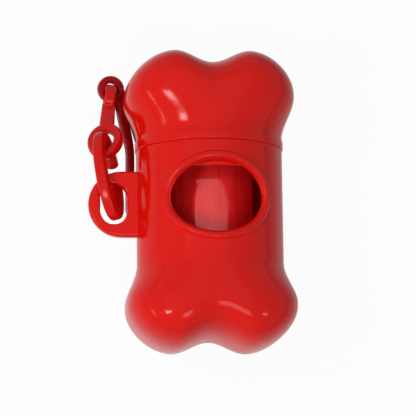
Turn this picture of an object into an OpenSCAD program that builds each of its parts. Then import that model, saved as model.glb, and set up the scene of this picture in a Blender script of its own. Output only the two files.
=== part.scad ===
// Bone-shaped waste-bag dispenser, lying on its back with the window upward.
// The bone runs along Y with its cap end at +Y; its chain lug points to -X.
// The origin is the middle of the whole object's underside.

/* [Bone] */
// Length over the lobe tips
bone_l = 85; // [78:0.5:100]
// Diameter of the round waist
waist_d = 41.2; // [38:0.2:48]
// How far a lobe stands out beyond the waist at its side
lobe_out = 3.3; // [1.5:0.1:5]
// How far a lobe stands proud of the waist at its front and back
lobe_back = 1.2; // [0.9:0.1:2]
// Length of a lobe from its widest place to its tip
lobe_reach = 13.1; // [11:0.1:15]
// Length over which the waist swells into the lobes
flare_l = 11.5; // [8:0.1:13]
// Distance between the two tips of one end
tip_gap = 22.8; // [18:0.2:26]
// Depth of the notch between the two tips
notch = 3.2; // [1:0.1:4.5]
// Depth of the shallow valley between two lobes
valley = 0.6; // [0:0.1:1.2]
// How far each resting flat lies below the lobe's deepest line
rest_cut = 0.7; // [0.5:0.05:0.8]

/* [Shells] */
// Wall of the round waist
wall = 1.9; // [1.4:0.1:2.6]
// Wall at each end of the hollow
end_wall = 2.6; // [2:0.1:4]
// Rounding inside each end of the hollow
end_round = 5; // [3:0.2:7]
// Distance of the seam from the middle of the bone
seam_y = 14.4; // [13.5:0.1:16]
// How far the cap's rim stands proud of the waist
rim_proud = 0.3; // [0.1:0.05:0.6]
// Height of the cap's rim band
rim_h = 2.4; // [1.5:0.1:3]
// Depth of the cap's plug below the seam
plug_l = 7; // [4:0.2:8]
// Wall of the plug
plug_wall = 1.1; // [0.8:0.1:1.6]
// Radial gap between the plug and the body's bore
plug_gap = 0.06; // [0.03:0.01:0.1]

/* [Window] */
// Width of the window
window_w = 25.6; // [18:0.2:27]
// Height of the window along the bone
window_h = 20.4; // [14:0.2:21]
// Distance of the window's centre from the middle of the bone
window_y = -1.3; // [-3:0.1:0]
// Thickness of the rounded bead round the window
bead_d = 2.2; // [1.6:0.1:2.6]

/* [Lug] */
// How far the lug's round end stands out beyond the waist
lug_out = 13.6; // [12:0.1:16]
// Height of the lug along the bone
lug_h = 18.6; // [17:0.1:21]
// Thickness of the lug
lug_t = 3.5; // [3:0.1:3.8]
// Place of the lug's middle along the bone
lug_y = -0.7; // [-2:0.1:1]
// Width of the hole in the lug
eye_w = 8.3; // [7.5:0.1:8.8]
// Height of the hole in the lug
eye_h = 11.6; // [10:0.1:12]
// Rounding of the lug's edges
lug_round = 0.8; // [0.3:0.1:1.2]

/* [Bag roll] */
// Outer radius of the wound bags
roll_r = 13; // [9:0.2:14]
// Width of the roll
roll_l = 58; // [50:0.5:60]
// Outer radius of the tube that the bags are wound on
core_r = 6.2; // [4:0.1:8]
// Wall of that tube
core_wall = 1; // [0.6:0.1:1.6]
// Thickness of the folded film at the roll's loose edge
film_step = 0.35; // [0.1:0.05:0.6]

/* [Chain] */
// Length of the open link over its ends
open_l = 25.4; // [24:0.1:27]
// Width of the open link
open_w = 13; // [12:0.1:14]
// Thickness of the open link's bar
open_bar = 3.1; // [2.6:0.1:3.2]
// Width of the slit in the open link
slit = 2; // [1:0.1:3]
// Width of the flat eye of the twin-eye link
ring_w = 10.2; // [10:0.1:10.6]
// Length of that eye
ring_l = 13.4; // [13:0.1:14]
// Thickness of its bar
ring_bar = 2.7; // [2.2:0.1:2.8]
// Distance between the centres of the link's two eyes
twin_l = 18.3; // [18:0.1:20]
// Width of the neck between the two eyes
neck_w = 3.8; // [3:0.1:4.4]
// How far the flat eye lies towards the cap from the open link's middle
ring_ahead = 10.3; // [10.2:0.05:10.5]
// How far the flat eye lies below the open link's middle
ring_drop = 3.4; // [3.2:0.05:3.6]
// Outer radius of the cross eye
cross_r = 4; // [3.9:0.1:4.4]
// Thickness of the cross eye's bar
cross_bar = 2; // [1.8:0.1:2.2]
// Width of that bar along the eye's hole
cross_t = 2.4; // [2:0.1:2.6]

/* [Clip] */
// Thickness of the clip, which lies flat
clip_t = 2.8; // [2.4:0.1:3]
// Width of the clip's bar
clip_bar = 2.2; // [2:0.1:2.6]
// Length of the clip from the eye's centre to its round end
clip_l = 39; // [36:0.1:42]
// Outer width of the hook
hook_w = 9.5; // [8.8:0.1:9.7]
// How far the clip's eye lies towards the cap from the flat eye
clip_ahead = 17.5; // [17.4:0.05:17.6]
// How far the clip's eye lies below the flat eye
clip_drop = 10.9; // [10.8:0.05:11]
// Outer radius of the clip's eye
clip_eye_r = 3.9; // [3.9:0.1:4.2]
// Width of the eye's bar
clip_eye_bar = 1.8; // [1.5:0.1:1.9]
// Thickness of the clip's eye
clip_eye_t = 2.2; // [1.8:0.1:2.4]
// Thickness of the springy gate
gate_t = 1.3; // [1:0.1:1.6]

/* [Hidden] */

$fn = 96;
red = [0.86, 0.09, 0.05];
dark_red = [0.6, 0.03, 0.04];
card = [0.72, 0.6, 0.45];

waist_r = waist_d / 2;
side_power = 2.8;
end_power_x = 2.6;
end_power_z = 2.4;
lobe_half_w = waist_r + lobe_out;
lobe_half_d = waist_r + lobe_back;
axis_h = lobe_half_d - rest_cut;
lug_reach = waist_r + lug_out;
bone_x = (lug_reach - lobe_half_w) / 2;
wide_y = bone_l / 2 - lobe_reach;
flare_y = wide_y - flare_l;
notch_y = bone_l / 2 - notch;
end_l = notch_y - wide_y;
tip_x = tip_gap / 2;
tip_h = notch + end_l * (1 - pow(1 - pow(tip_x / lobe_half_w, end_power_x), 1 / end_power_x));
bore_r = waist_r - wall;
plug_r = bore_r - plug_gap;
cap_bore_r = plug_r - plug_wall;
hollow_y = notch_y - end_wall;
seat = 0.3;
around = 56;
flare_rings = 6;
end_rings = 8;

// Smooth step from 0 to 1
function ease(t) = let (c = min(1, max(0, t))) c * c * (3 - 2 * c);
// A number's size raised to a power, with its sign kept
function signed_pow(v, p) = sign(v) * pow(abs(v), p);

// How far the lobes reach past the notch at a distance x from the bone's axis
function tip_rise(x) = let (a = abs(x))
    tip_h * (a < tip_x ? pow(sin(90 * a / tip_x), 2)
                       : cos(min(90, 90 * (a - tip_x) / (lobe_half_w - tip_x))));
// Share of the valley at a distance x from the bone's axis
function valley_share(x) = abs(x) < tip_x ? pow(cos(90 * x / tip_x), 2) : 0;

// One ring of the bone: y, half width, half depth and the power of its outline
function waist_ring(y, proud) = [y, waist_r + proud, waist_r + proud, 2];
function flare_ring(t) = let (s = ease(t))
    [flare_y + t * flare_l, waist_r + s * lobe_out, waist_r + s * lobe_back,
     2 + s * (side_power - 2)];
function end_ring(a) = let (t = pow(sin(a), 2 / end_power_x))
    [wide_y + t * end_l, lobe_half_w * pow(cos(a), 2 / end_power_x),
     lobe_half_d * pow(1 - pow(t, end_power_z), 1 / end_power_z), side_power];
function end_rings_list() = concat(
    [for (i = [0:flare_rings]) flare_ring(i / flare_rings)],
    [for (i = [1:end_rings]) end_ring(i * 86 / end_rings)]);

// A point of the bone, moved on to the lobes and into the valley
function bone_point(ring, a) =
    let (x = ring[1] * signed_pow(cos(a), 2 / ring[3]),
         z = ring[2] * signed_pow(sin(a), 2 / ring[3]),
         rise = ease((ring[0] - flare_y) / (hollow_y - flare_y)))
    [x, ring[0] + tip_rise(x) * rise, z * (1 - valley / lobe_half_d * valley_share(x) * rise)];

// Closed solid through a list of rings, ending in a pole on the bone's axis
module bone_loft(rings) {
    count = len(rings);
    ring_points = [for (r = rings) for (k = [0:around - 1]) bone_point(r, 360 * k / around)];
    pole = [0, notch_y, 0];
    sides = [for (i = [0:count - 2]) for (k = [0:around - 1])
        let (n = (k + 1) % around, a = i * around, b = a + around)
        each [[a + k, a + n, b + k], [a + n, b + n, b + k]]];
    last = (count - 1) * around;
    top = [for (k = [0:around - 1]) [last + k, last + (k + 1) % around, count * around]];
    base = [[for (k = [0:around - 1]) around - 1 - k]];
    polyhedron(concat(ring_points, [pole]), concat(sides, top, base), convexity = 6);
}

// Round hollow along the bone with rounded end corners, from y0 up to y1
module round_hollow(r, y0, y1) {
    rotate([-90, 0, 0])
        rotate_extrude()
            union() {
                translate([0, y0]) square([r, y1 - end_round - y0]);
                translate([0, y0]) square([r - end_round, y1 - y0]);
                translate([r - end_round, y1 - end_round])
                    intersection() {
                        circle(r = end_round);
                        square(end_round);
                    }
            }
}

// Everything below the back flats, which is cut away
module under_flats() {
    translate([-100, -100, -axis_h - 50]) cube([200, 200, 50]);
}

// Places a piece that is drawn about the bone's axis
module on_bone() {
    translate([bone_x, 0, axis_h]) children();
}

// Corner points of a bar's section, which is a rectangle with cut corners
function bar_section(w, t, c) = [
    [w / 2 - c, -t / 2], [w / 2, -t / 2 + c], [w / 2, t / 2 - c], [w / 2 - c, t / 2],
    [-w / 2 + c, t / 2], [-w / 2, t / 2 - c], [-w / 2, -t / 2 + c], [-w / 2 + c, -t / 2]];

// Direction across a flat path at point i, to the right of its run
function across(path, i, closed) =
    let (n = len(path),
         before = path[closed ? (i + n - 1) % n : max(0, i - 1)],
         after = path[closed ? (i + 1) % n : min(n - 1, i + 1)],
         run = after - before)
    [run[1], -run[0]] / norm(run);

// Bar swept along a flat path in the XY plane
module flat_bar(path, w, t, c, closed = false) {
    n = len(path);
    m = 8;
    section = bar_section(w, t, c);
    points = [for (i = [0:n - 1]) let (side = across(path, i, closed)) for (s = section)
        [path[i][0] + side[0] * s[0], path[i][1] + side[1] * s[0], s[1]]];
    spans = closed ? n : n - 1;
    sides = [for (i = [0:spans - 1]) for (k = [0:m - 1])
        let (a = i * m, b = ((i + 1) % n) * m, q = (k + 1) % m)
        each [[a + k, a + q, b + k], [a + q, b + q, b + k]]];
    ends = closed ? [] : [[for (k = [0:m - 1]) m - 1 - k], [for (k = [0:m - 1]) (n - 1) * m + k]];
    polyhedron(points, concat(sides, ends), convexity = 8);
}

// Points of an oval of two half widths, from angle a0 to angle a1
function oval(rx, ry, a0, a1, steps) =
    [for (i = [0:steps]) let (a = a0 + (a1 - a0) * i / steps) [rx * cos(a), ry * sin(a)]];

// ---------------------------------------------------------------- window and lug

bead_rx = window_w / 2 + bead_d / 2;
bead_ry = window_h / 2 + bead_d / 2;
bead_steps = 48;
bead_sides = 8;

// Rounded bead that follows the window's edge over the round waist
module window_bead() {
    centres = [for (i = [0:bead_steps - 1]) let (a = 360 * i / bead_steps)
        [bead_rx * cos(a), window_y + bead_ry * sin(a),
         sqrt(pow(waist_r, 2) - pow(bead_rx * cos(a), 2))]];
    points = [for (i = [0:bead_steps - 1])
        let (a = 360 * i / bead_steps,
             side = [cos(a) * bead_ry, sin(a) * bead_rx, 0] / norm([cos(a) * bead_ry, sin(a) * bead_rx]),
             up = [centres[i][0], 0, centres[i][2]] / waist_r)
        for (k = [0:bead_sides - 1]) let (b = 360 * (k + 0.5) / bead_sides)
            centres[i] + bead_d / 2 * (cos(b) * side + sin(b) * up)];
    faces = [for (i = [0:bead_steps - 1]) for (k = [0:bead_sides - 1])
        let (a = i * bead_sides, b = ((i + 1) % bead_steps) * bead_sides, q = (k + 1) % bead_sides)
        each [[a + k, a + q, b + k], [a + q, b + q, b + k]]];
    polyhedron(points, faces, convexity = 6);
}

// Oval opening cut straight in from the front
module window_cut() {
    translate([0, window_y, 0])
        linear_extrude(waist_d) polygon(oval(window_w / 2, window_h / 2, 0, 360 - 360 / 48, 47));
}

lug_end_x = -(lug_reach - lug_h / 2);
eye_x = lug_end_x - 1.9;

// Half of the lug's section, with rounded edges
module lug_section(half_h) {
    square([half_h - lug_round, lug_t]);
    translate([0, lug_round]) square([half_h, lug_t - 2 * lug_round]);
    for (y = [lug_round, lug_t - lug_round])
        translate([half_h - lug_round, y]) circle(r = lug_round);
}

// Lug plate with a round end and straight sides that run into the waist
module lug_plate() {
    translate([lug_end_x, lug_y, -lug_t / 2]) {
        rotate([0, 0, 90]) rotate_extrude(angle = 180) lug_section(lug_h / 2);
        for (turn = [0, 1])
            mirror([0, turn, 0])
                rotate([90, 0, 90])
                    linear_extrude(-lug_end_x - bore_r - wall / 2) lug_section(lug_h / 2);
    }
}

// Oval hole through the lug
module lug_eye() {
    straight = (eye_h - eye_w) / 2;
    translate([eye_x, lug_y, -lug_t]) {
        for (y = [-straight, straight])
            translate([0, y, 0]) cylinder(d = eye_w, h = 2 * lug_t);
        translate([-eye_w / 2, -straight, 0]) cube([eye_w, 2 * straight, 2 * lug_t]);
    }
}

// ---------------------------------------------------------------- shells

// Body: the closed end, the window with its bead and the lug
module body_shell() {
    rings = concat([waist_ring(-seam_y, 0)], end_rings_list());
    color(red)
        on_bone()
            difference() {
                union() {
                    mirror([0, 1, 0]) bone_loft(rings);
                    window_bead();
                    lug_plate();
                }
                mirror([0, 1, 0]) round_hollow(bore_r, -seam_y - 1, hollow_y);
                window_cut();
                lug_eye();
                under_flats();
            }
}

// Cap: the other end, with a rim band and a plug that slides into the body
module cap_shell() {
    rings = concat(
        [waist_ring(seam_y, rim_proud / 2), waist_ring(seam_y + rim_proud, rim_proud),
         waist_ring(seam_y + rim_h, rim_proud)],
        end_rings_list());
    color(red)
        on_bone()
            difference() {
                union() {
                    bone_loft(rings);
                    translate([0, seam_y - plug_l, 0])
                        rotate([-90, 0, 0]) cylinder(r = plug_r, h = plug_l + wall);
                }
                round_hollow(cap_bore_r, seam_y - plug_l - 1, hollow_y);
                under_flats();
            }
}

// ---------------------------------------------------------------- bag roll

roll_z = -(cap_bore_r - roll_r - seat);
roll_y = -hollow_y + end_round / 2;
roll_steps = 64;

// Places what turns with the roll
module on_roll() {
    on_bone() translate([0, roll_y, roll_z]) rotate([-90, 0, 0]) children();
}

// Wound film with one step where the last bag's edge lies on the roll
module bag_roll() {
    outline = [for (i = [0:roll_steps]) let (a = 360 * i / roll_steps,
        r = roll_r - film_step * i / roll_steps) [r * cos(a + 200), r * sin(a + 200)]];
    color(dark_red)
        on_roll()
            difference() {
                linear_extrude(roll_l) polygon(outline);
                translate([0, 0, -1]) cylinder(r = core_r, h = roll_l + 2);
            }
}

// Tube that the bags are wound on
module roll_core() {
    color(card)
        on_roll()
            difference() {
                cylinder(r = core_r - plug_gap, h = roll_l);
                translate([0, 0, -1]) cylinder(r = core_r - core_wall, h = roll_l + 2);
            }
}

// ---------------------------------------------------------------- chain

cut = 0.7;

chain_aside = (waist_r - 17.4) / 2;
open_at = [eye_x - chain_aside, lug_y + 8.7, -0.9];
open_lean = [-8, 0, 8];
open_roll = 64;
open_steps = 36;
slit_at = 11;
slit_turn = asin(slit / (open_l - open_bar));

// Places what belongs to the open link, whose long way runs up beside the bone
module on_open_link() {
    on_bone() translate(open_at) rotate(open_lean) rotate([0, open_roll, 0]) children();
}

// Open link through the lug's hole
module open_link() {
    half_w = (open_w - open_bar) / 2;
    half_l = (open_l - open_bar) / 2;
    path = oval(half_w, half_l, slit_at + slit_turn, slit_at + 360 - slit_turn, open_steps);
    color(red) on_open_link() flat_bar(path, open_bar, open_bar, cut);
}

twin_at = open_at + [-0.5, ring_ahead, -ring_drop];
twin_lean = [-36.6, 0, -8.2];
twin_roll = -18;

// Places what belongs to the twin-eye link, from its flat eye's centre along local Y
module on_twin_link() {
    on_bone() translate(twin_at) rotate(twin_lean) rotate([0, twin_roll, 0]) children();
}

// Link with a flat eye at one end and an eye at right angles to it at the other
module twin_eye_link() {
    flat_path = oval((ring_w - ring_bar) / 2, (ring_l - ring_bar) / 2, 0, 360 - 360 / 32, 31);
    cross_mid = cross_r - cross_bar / 2;
    cross_path = oval(cross_mid, cross_mid, 0, 360 - 360 / 24, 23);
    neck_from = (ring_l - ring_bar) / 2;
    neck_to = twin_l - cross_mid;
    color(red)
        on_twin_link() {
            flat_bar(flat_path, ring_bar, ring_bar, cut, closed = true);
            translate([0, twin_l, 0])
                rotate([0, 90 - twin_roll, 0])
                    flat_bar(cross_path, cross_bar, cross_t, cut, closed = true);
            hull() {
                translate([-neck_w / 2, neck_from, -ring_bar / 2 + cut])
                    cube([neck_w, 0.2, ring_bar - 2 * cut]);
                translate([0, neck_to, 0])
                    rotate([0, -twin_roll, 0])
                        translate([-cross_t / 2, 0, -cross_bar / 2]) cube([cross_t, 0.2, cross_bar]);
            }
        }
}

// ---------------------------------------------------------------- clip

clip_at = twin_at + [2.5, clip_ahead, -clip_drop];
clip_lean = [2, 12, 0];
clip_eye_mid = clip_eye_r - clip_eye_bar / 2;
hook_r = (hook_w - clip_bar) / 2;
spine_x = 5.85;
hook_x = spine_x + hook_r;
nose_x = hook_x + hook_r;
hook_y = -clip_l + hook_w / 2;
nose_y = -22.5;
spine_bend = 20;

// Places what belongs to the clip, from its eye's centre along local -Y
module on_clip() {
    on_bone() translate(clip_at) rotate(clip_lean) children();
}

// Spine, round end and nose of the hook, from the eye to the nose
function hook_path() = concat(
    [for (i = [0:8]) let (t = i / 8)
        [clip_eye_mid + (spine_x - clip_eye_mid) * ease(t), -t * spine_bend]],
    [for (a = [180:15:360]) [hook_x + hook_r * cos(a), hook_y + hook_r * sin(a)]],
    [[nose_x, nose_y]]);

// Eye and hook in one flat piece
module clip_hook() {
    eye_path = oval(clip_eye_mid, clip_eye_mid, 0, 360 - 360 / 28, 27);
    color(dark_red)
        on_clip() {
            flat_bar(eye_path, clip_eye_bar, clip_eye_t, cut, closed = true);
            flat_bar(hook_path(), clip_bar, clip_t, cut);
        }
}

gate_root = [6.3, -9.3];
gate_tip = [nose_x - clip_bar / 2 - gate_t / 2 - 0.2, nose_y - 1.6];

// Springy tongue that closes the hook between its neck and its nose
module clip_gate() {
    color(dark_red)
        on_clip()
            flat_bar([gate_root, gate_tip], gate_t, clip_t - 0.6, 0.3);
}

// ---------------------------------------------------------------- the whole object

body_shell();
cap_shell();
bag_roll();
roll_core();
open_link();
twin_eye_link();
clip_hook();
clip_gate();
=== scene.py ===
"""Looks of a bone-shaped waste-bag dispenser lying on its back in a plain studio.

Each sub-assembly is a class that holds its sizes in metres, builds its meshes in the
row's frame and dresses them. The bone runs along Y, its cap towards +Y, its window
faces +Z and its lug points to -X.
"""

import logging
import math
from collections.abc import Sequence
from dataclasses import dataclass, field
from enum import Enum

import bmesh
import bpy
from mathutils import Euler, Matrix, Vector


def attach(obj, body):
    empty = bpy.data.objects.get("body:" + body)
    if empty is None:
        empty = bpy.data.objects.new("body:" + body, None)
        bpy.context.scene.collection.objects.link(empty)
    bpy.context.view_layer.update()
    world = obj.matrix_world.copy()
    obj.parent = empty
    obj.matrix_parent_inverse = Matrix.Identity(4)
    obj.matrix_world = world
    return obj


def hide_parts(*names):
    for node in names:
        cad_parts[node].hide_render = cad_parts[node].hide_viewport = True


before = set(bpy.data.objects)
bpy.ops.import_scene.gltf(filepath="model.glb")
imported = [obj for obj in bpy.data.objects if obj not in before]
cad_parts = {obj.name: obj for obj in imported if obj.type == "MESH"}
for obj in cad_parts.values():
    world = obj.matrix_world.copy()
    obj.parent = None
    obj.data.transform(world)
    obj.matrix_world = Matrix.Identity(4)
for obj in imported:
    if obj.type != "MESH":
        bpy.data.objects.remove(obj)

LOG = logging.getLogger("dispenser")
MM = 0.001
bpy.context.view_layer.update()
WHITE = (1.0, 1.0, 1.0, 1.0)
TINY = 1e-6
SMOOTH_ALL_OVER = 180.0  # An angle between faces, in degrees, that no edge passes.
PICTURE_PLANE = 36.0  # Width of the camera's picture plane, in Blender's millimetres.

# Noise scales of the shared shader groups, in features per metre of the piece.
FINE_RIPPLE = 900.0
BROAD_RIPPLE = 60.0
SCUFF_LINES = 1600.0
SCUFF_PATCHES = 110.0

Ring = list[Vector]


class Body(Enum):
    """Moving bodies of the dispenser, by their names in the record."""

    BODY = "body"
    CAP = "cap"
    ROLL = "roll"
    OPEN_LINK = "open_link"
    TWIN_EYE_LINK = "twin_eye_link"
    CLIP = "clip"
    GATE = "gate"


class Slot(Enum):
    """Material slots of the record."""

    SHELL = "shell"
    CHAIN = "chain"
    CLIP = "clip"
    FILM = "film"
    CARD = "card"


# --------------------------------------------------------------------------- meshes


def ease(value: float) -> float:
    """Smooth step from 0 to 1."""
    c = min(1.0, max(0.0, value))
    return c * c * (3.0 - 2.0 * c)


def quarter_turn(steps: int) -> list[float]:
    """Angles from 0 to a quarter turn, in radians, in even steps."""
    return [math.pi / 2 * i / steps for i in range(steps + 1)]


def signed_power(value: float, power: float) -> float:
    """A number's size raised to a power, with its sign kept."""
    return math.copysign(abs(value) ** power, value)


def mesh_from_rings(name: str, rings: Sequence[Ring], first_pole: Vector | None = None,
                    last_pole: Vector | None = None, closed: bool = False) -> bpy.types.Mesh:
    """Skins a run of rings that all have the same number of points.

    Args:
        name: Name of the mesh.
        rings: Rings of points, in order.
        first_pole: Point that closes the run before its first ring.
        last_pole: Point that closes the run after its last ring.
        closed: Whether the last ring joins the first one.

    Returns:
        A closed mesh with its faces pointing outwards.
    """
    count = len(rings[0])
    points = [p for ring in rings for p in ring]
    faces: list[tuple[int, ...]] = []
    for i in range(len(rings) if closed else len(rings) - 1):
        a, b = i * count, ((i + 1) % len(rings)) * count
        faces += [(a + k, a + (k + 1) % count, b + (k + 1) % count, b + k) for k in range(count)]
    for pole, start in ((first_pole, 0), (last_pole, (len(rings) - 1) * count)):
        if pole is not None:
            points.append(pole)
            tip = len(points) - 1
            faces += [(start + k, start + (k + 1) % count, tip) for k in range(count)]
    mesh = bpy.data.meshes.new(name)
    mesh.from_pydata([tuple(p) for p in points], [], faces)
    face_outwards(mesh)
    return mesh


def face_outwards(mesh: bpy.types.Mesh) -> None:
    """Turns the faces of a closed mesh outwards, also where its volume comes out negative.

    Args:
        mesh: The mesh that is changed.
    """
    bm = bmesh.new()
    bm.from_mesh(mesh)
    bmesh.ops.recalc_face_normals(bm, faces=bm.faces)
    if bm.calc_volume(signed=True) < 0.0:
        bmesh.ops.reverse_faces(bm, faces=bm.faces)
    bm.to_mesh(mesh)
    bm.free()


def new_object(name: str, mesh: bpy.types.Mesh) -> bpy.types.Object:
    """Links a mesh into the scene as an object at the origin.

    Args:
        name: Name of the object.
        mesh: Its mesh.

    Returns:
        The new object.
    """
    obj = bpy.data.objects.new(name, mesh)
    bpy.context.scene.collection.objects.link(obj)
    return obj


def bake_modifiers(obj: bpy.types.Object) -> None:
    """Turns an object's modifiers into plain mesh and takes them off.

    Args:
        obj: The object that is changed.
    """
    bpy.context.view_layer.update()
    depsgraph = bpy.context.evaluated_depsgraph_get()
    mesh = bpy.data.meshes.new_from_object(obj.evaluated_get(depsgraph), depsgraph=depsgraph)
    obj.modifiers.clear()
    old, obj.data = obj.data, mesh
    bpy.data.meshes.remove(old)


def combine(obj: bpy.types.Object, cutters: Sequence[tuple[bpy.types.Object, str]]) -> None:
    """Joins or cuts other solids into an object and removes them from the scene.

    Args:
        obj: The object that is changed.
        cutters: Pairs of a solid and the operation, which is UNION or DIFFERENCE.
    """
    for index, (cutter, operation) in enumerate(cutters):
        step = obj.modifiers.new(f"solid_{index}", "BOOLEAN")
        step.object, step.operation, step.solver = cutter, operation, "EXACT"
    bake_modifiers(obj)
    for cutter, _ in cutters:
        mesh = cutter.data
        bpy.data.objects.remove(cutter)
        bpy.data.meshes.remove(mesh)


def soften(obj: bpy.types.Object, voxel: float, rounds: int) -> None:
    """Melts touching bars into one moulded form with soft edges.

    Args:
        obj: The object that is changed.
        voxel: Size of the grid that the form is rebuilt on.
        rounds: How often the surface is relaxed after that.
    """
    remesh = obj.modifiers.new("melt", "REMESH")
    remesh.mode, remesh.voxel_size, remesh.adaptivity = "VOXEL", voxel, 0.0
    relax = obj.modifiers.new("relax", "SMOOTH")
    relax.factor, relax.iterations = 0.5, rounds
    bake_modifiers(obj)


def shade(obj: bpy.types.Object, angle: float) -> None:
    """Shades an object smoothly, with sharp edges above an angle in degrees."""
    obj.data.shade_smooth()
    obj.data.set_sharp_from_angle(angle=math.radians(angle))


def dress(obj: bpy.types.Object, material: bpy.types.Material) -> None:
    """Gives an object one material all over.

    Args:
        obj: The object that is dressed.
        material: Its material.
    """
    obj.data.materials.clear()
    obj.data.materials.append(material)
    for polygon in obj.data.polygons:
        polygon.material_index = 0


# --------------------------------------------------------------------------- node helpers


class NodeGraph:
    """Small helper that adds and wires nodes in one tree."""

    def __init__(self, tree: bpy.types.NodeTree) -> None:
        """Keeps the tree that nodes go into."""
        self.tree = tree

    def add(self, kind: str, inputs: dict[str | int, object] | None = None,
            **settings: object) -> bpy.types.Node:
        """Adds one node.

        Args:
            kind: Blender's name for the node's type.
            inputs: Values or output sockets for its inputs, by name or number.
            **settings: Properties of the node.

        Returns:
            The new node.
        """
        node = self.tree.nodes.new(kind)
        for key, value in settings.items():
            setattr(node, key, value)
        for key, value in (inputs or {}).items():
            self.feed(node.inputs[key], value)
        return node

    def feed(self, socket: bpy.types.NodeSocket, value: object) -> None:
        """Wires an output socket into an input, or sets the input's own value.

        Args:
            socket: The input.
            value: The output socket or the value that it gets.
        """
        if isinstance(value, bpy.types.NodeSocket):
            self.tree.links.new(value, socket)
        else:
            socket.default_value = value

    def math(self, operation: str, first: object, second: object = 0.0) -> bpy.types.NodeSocket:
        """Adds a Math node and returns its output."""
        return self.add("ShaderNodeMath", {0: first, 1: second}, operation=operation).outputs[0]

    def group(self, tree: bpy.types.NodeTree, values: dict[str, object]) -> bpy.types.Node:
        """Places a shader group.

        Args:
            tree: The group's tree.
            values: Values or output sockets for its inputs, by name.

        Returns:
            The group's node.
        """
        node = self.tree.nodes.new("ShaderNodeGroup")
        node.node_tree = tree
        for key, value in values.items():
            self.feed(node.inputs[key], value)
        return node

    def two_tone(self, factor: bpy.types.NodeSocket, deep: tuple[float, float, float],
                 colour: tuple[float, float, float], low: float = 0.0,
                 high: float = 1.0) -> bpy.types.NodeSocket:
        """Mixes two colours by a mask.

        Args:
            factor: The mask.
            deep: Colour where the mask is low.
            colour: Colour where the mask is high.
            low: Mask at which the deep colour ends.
            high: Mask at which the other colour is full.

        Returns:
            The mixed colour.
        """
        ramp = self.add("ShaderNodeValToRGB", {"Fac": factor})
        ends = ramp.color_ramp.elements
        ends[0].position, ends[1].position = low, high
        ends[0].color, ends[1].color = (*deep, 1.0), (*colour, 1.0)
        return ramp.outputs["Color"]


def start_material(name: str) -> tuple[bpy.types.Material, NodeGraph]:
    """Starts a material with an empty node tree.

    Args:
        name: Name of the material.

    Returns:
        The material and the helper that adds its nodes.
    """
    material = bpy.data.materials.new(name)
    material.use_nodes = True
    material.node_tree.nodes.clear()
    return material, NodeGraph(material.node_tree)


def add_socket(tree: bpy.types.NodeTree, name: str, kind: str, output: bool = False,
               default: object = None) -> None:
    """Adds a named socket to a node group's interface.

    Args:
        tree: The group's tree.
        name: Name of the socket.
        kind: Its type, as Blender's name for it ends.
        output: Whether it is an output.
        default: Its default value, or None for Blender's own.
    """
    socket = tree.interface.new_socket(name, in_out="OUTPUT" if output else "INPUT",
                                       socket_type=f"NodeSocket{kind}")
    if default is not None:
        socket.default_value = default


def run_tree(obj: bpy.types.Object, tree: bpy.types.NodeTree, values: dict[str, object]) -> None:
    """Runs a Geometry Nodes tree on an object and keeps the result as plain mesh.

    Args:
        obj: The object that carries the tree's start shape.
        tree: The tree.
        values: Input values by the names of the tree's sockets.
    """
    modifier = obj.modifiers.new(tree.name, "NODES")
    modifier.node_group = tree
    for item in tree.interface.items_tree:
        if item.item_type == "SOCKET" and item.in_out == "INPUT" and item.name in values:
            modifier[item.identifier] = values[item.name]
    bake_modifiers(obj)


def moulded_bar_tree() -> bpy.types.NodeTree:
    """Builds the tree that sweeps a bar with rounded corners along a flat path.

    Returns:
        The tree, which reads the path from the object's edges.
    """
    tree = bpy.data.node_groups.new("moulded_bar", "GeometryNodeTree")
    add_socket(tree, "Geometry", "Geometry")
    for name, default in (("Width", 0.003), ("Thickness", 0.003), ("Corner", 0.001)):
        add_socket(tree, name, "Float", default=default)
    add_socket(tree, "Corner Steps", "Int", default=6)
    add_socket(tree, "Material", "Material")
    add_socket(tree, "Geometry", "Geometry", output=True)
    g = NodeGraph(tree)
    given = g.add("NodeGroupInput")
    path = g.add("GeometryNodeMeshToCurve", {"Mesh": given.outputs["Geometry"]})
    level = g.add("GeometryNodeSetCurveNormal", {"Curve": path.outputs[0]}, mode="Z_UP")
    section = g.add("GeometryNodeCurvePrimitiveQuadrilateral",
                    {"Width": given.outputs["Width"], "Height": given.outputs["Thickness"]})
    rounded = g.add("GeometryNodeFilletCurve",
                    {"Curve": section.outputs[0], "Count": given.outputs["Corner Steps"],
                     "Radius": given.outputs["Corner"], "Limit Radius": True}, mode="POLY")
    swept = g.add("GeometryNodeCurveToMesh",
                  {"Curve": level.outputs[0], "Profile Curve": rounded.outputs[0],
                   "Fill Caps": True})
    real = g.add("GeometryNodeRealizeInstances", {0: swept.outputs[0]})
    dressed = g.add("GeometryNodeSetMaterial",
                    {"Geometry": real.outputs[0], "Material": given.outputs["Material"]})
    g.add("NodeGroupOutput", {0: dressed.outputs[0]})
    return tree


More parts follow.
